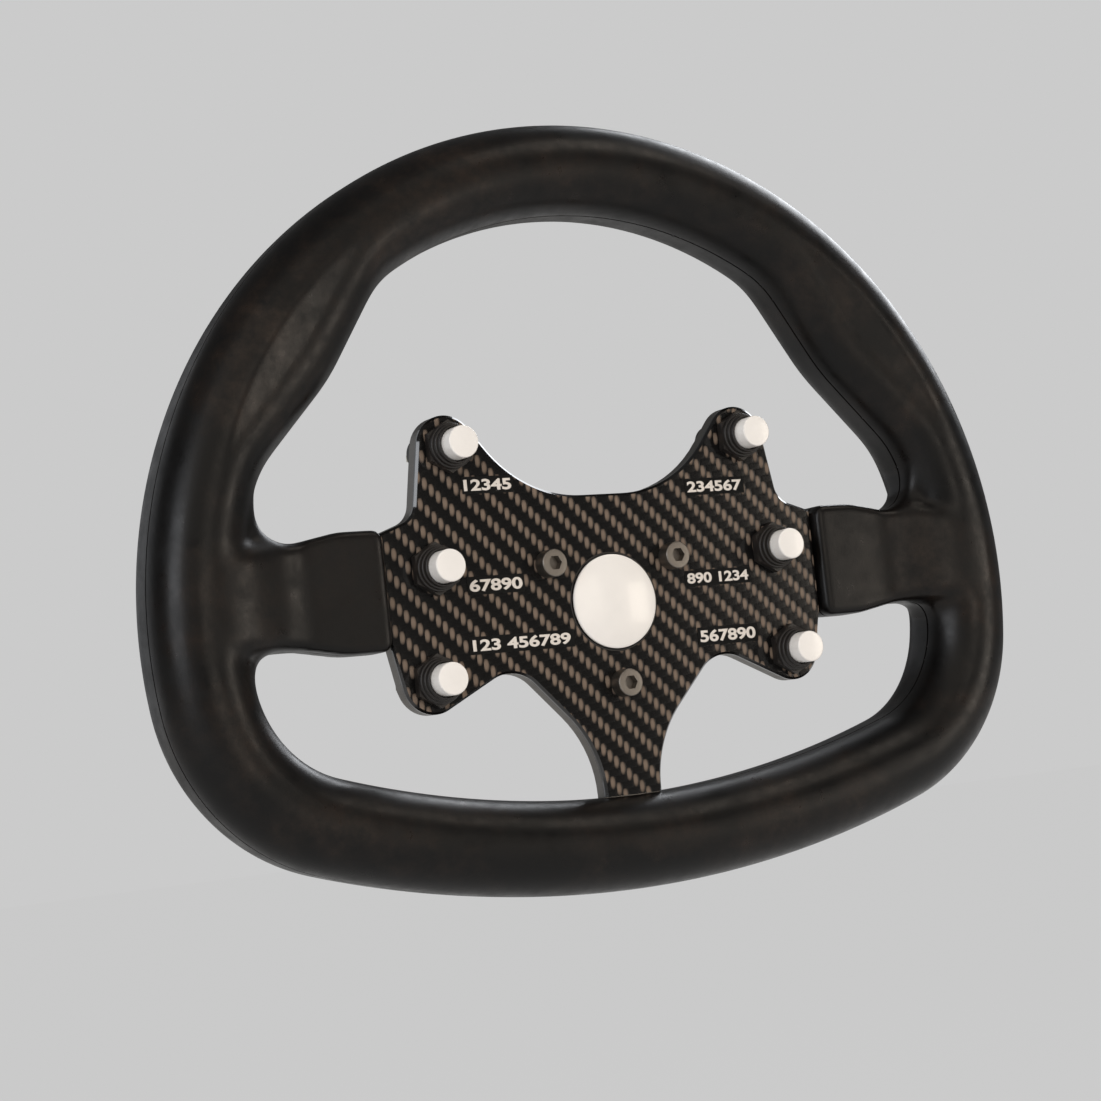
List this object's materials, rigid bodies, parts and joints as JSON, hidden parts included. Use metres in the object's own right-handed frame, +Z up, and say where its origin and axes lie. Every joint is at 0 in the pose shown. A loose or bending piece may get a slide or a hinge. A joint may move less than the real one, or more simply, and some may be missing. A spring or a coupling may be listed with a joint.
{
  "type": "car steering wheel",
  "caption": "Flat-bottomed racing steering wheel: moulded grip in two halves on an aluminium frame, with a carbon button plate, sprung push buttons and a horn push.",
  "frame": {"origin": "on the hub axis, in the rear face of the frame, where the hub bolts on", "axes": "+X to the driver's right, +Z up, +Y away from the driver along the steering shaft; the face looks along -Y"},
  "size_m": [0.3, 0.034, 0.2382],
  "materials": {
    "grip": "satin moulded polyurethane with a fine grain",
    "carbon": "clear-coated carbon twill",
    "frame": "satin, cut edges",
    "black_nylon": "moulded, semi-matt",
    "black_gloss": "moulded, gloss",
    "white_cap": "moulded, gloss",
    "screw_steel": "stainless, turned",
    "spring_steel": "drawn wire",
    "contact_brass": "stamped and plated"
  },
  "bodies": {
    "wheel": {"front_grip": "grip", "rear_grip": "grip", "frame": "frame", "button_plate": "carbon", "hub_screws": "screw_steel", "grip_screws": "screw_steel", "horn_housing": "black_gloss", "horn_locknut": "black_nylon", "horn_contact": "contact_brass", "horn_blades": "contact_brass", "horn_spring": "spring_steel", "upper_right_nut": "black_nylon", "upper_right_collar": "black_gloss", "upper_right_switch": "black_nylon", "upper_right_spring": "spring_steel", "upper_right_tags": "contact_brass", "middle_right_nut": "black_nylon", "middle_right_collar": "black_gloss", "middle_right_switch": "black_nylon", "middle_right_spring": "spring_steel", "middle_right_tags": "contact_brass", "lower_right_nut": "black_nylon", "lower_right_collar": "black_gloss", "lower_right_switch": "black_nylon", "lower_right_spring": "spring_steel", "lower_right_tags": "contact_brass", "upper_left_nut": "black_nylon", "upper_left_collar": "black_gloss", "upper_left_switch": "black_nylon", "upper_left_spring": "spring_steel", "upper_left_tags": "contact_brass", "middle_left_nut": "black_nylon", "middle_left_collar": "black_gloss", "middle_left_switch": "black_nylon", "middle_left_spring": "spring_steel", "middle_left_tags": "contact_brass", "lower_left_nut": "black_nylon", "lower_left_collar": "black_gloss", "lower_left_switch": "black_nylon", "lower_left_spring": "spring_steel", "lower_left_tags": "contact_brass"},
    "upper_right_button": {"upper_right_cap": "white_cap"},
    "middle_right_button": {"middle_right_cap": "white_cap"},
    "lower_right_button": {"lower_right_cap": "white_cap"},
    "upper_left_button": {"upper_left_cap": "white_cap"},
    "middle_left_button": {"middle_left_cap": "white_cap"},
    "lower_left_button": {"lower_left_cap": "white_cap"},
    "horn_push": {"horn_cap": "white_cap"}
  },
  "joints": [
    {"name": "upper_right_press", "type": "slide", "parent": "wheel", "child": "upper_right_button", "axis": [0, 1, 0], "range_m": [0, 0.0025], "stiffness_N_per_m": 600, "deforming": ["upper_right_spring"]},
    {"name": "middle_right_press", "type": "slide", "parent": "wheel", "child": "middle_right_button", "axis": [0, 1, 0], "range_m": [0, 0.0025], "stiffness_N_per_m": 600, "deforming": ["middle_right_spring"]},
    {"name": "lower_right_press", "type": "slide", "parent": "wheel", "child": "lower_right_button", "axis": [0, 1, 0], "range_m": [0, 0.0025], "stiffness_N_per_m": 600, "deforming": ["lower_right_spring"]},
    {"name": "upper_left_press", "type": "slide", "parent": "wheel", "child": "upper_left_button", "axis": [0, 1, 0], "range_m": [0, 0.0025], "stiffness_N_per_m": 600, "deforming": ["upper_left_spring"]},
    {"name": "middle_left_press", "type": "slide", "parent": "wheel", "child": "middle_left_button", "axis": [0, 1, 0], "range_m": [0, 0.0025], "stiffness_N_per_m": 600, "deforming": ["middle_left_spring"]},
    {"name": "lower_left_press", "type": "slide", "parent": "wheel", "child": "lower_left_button", "axis": [0, 1, 0], "range_m": [0, 0.0025], "stiffness_N_per_m": 600, "deforming": ["lower_left_spring"]},
    {"name": "horn_press", "type": "slide", "parent": "wheel", "child": "horn_push", "axis": [0, 1, 0], "range_m": [0, 0.0008], "stiffness_N_per_m": 3000, "deforming": ["horn_spring"]}
  ]
}
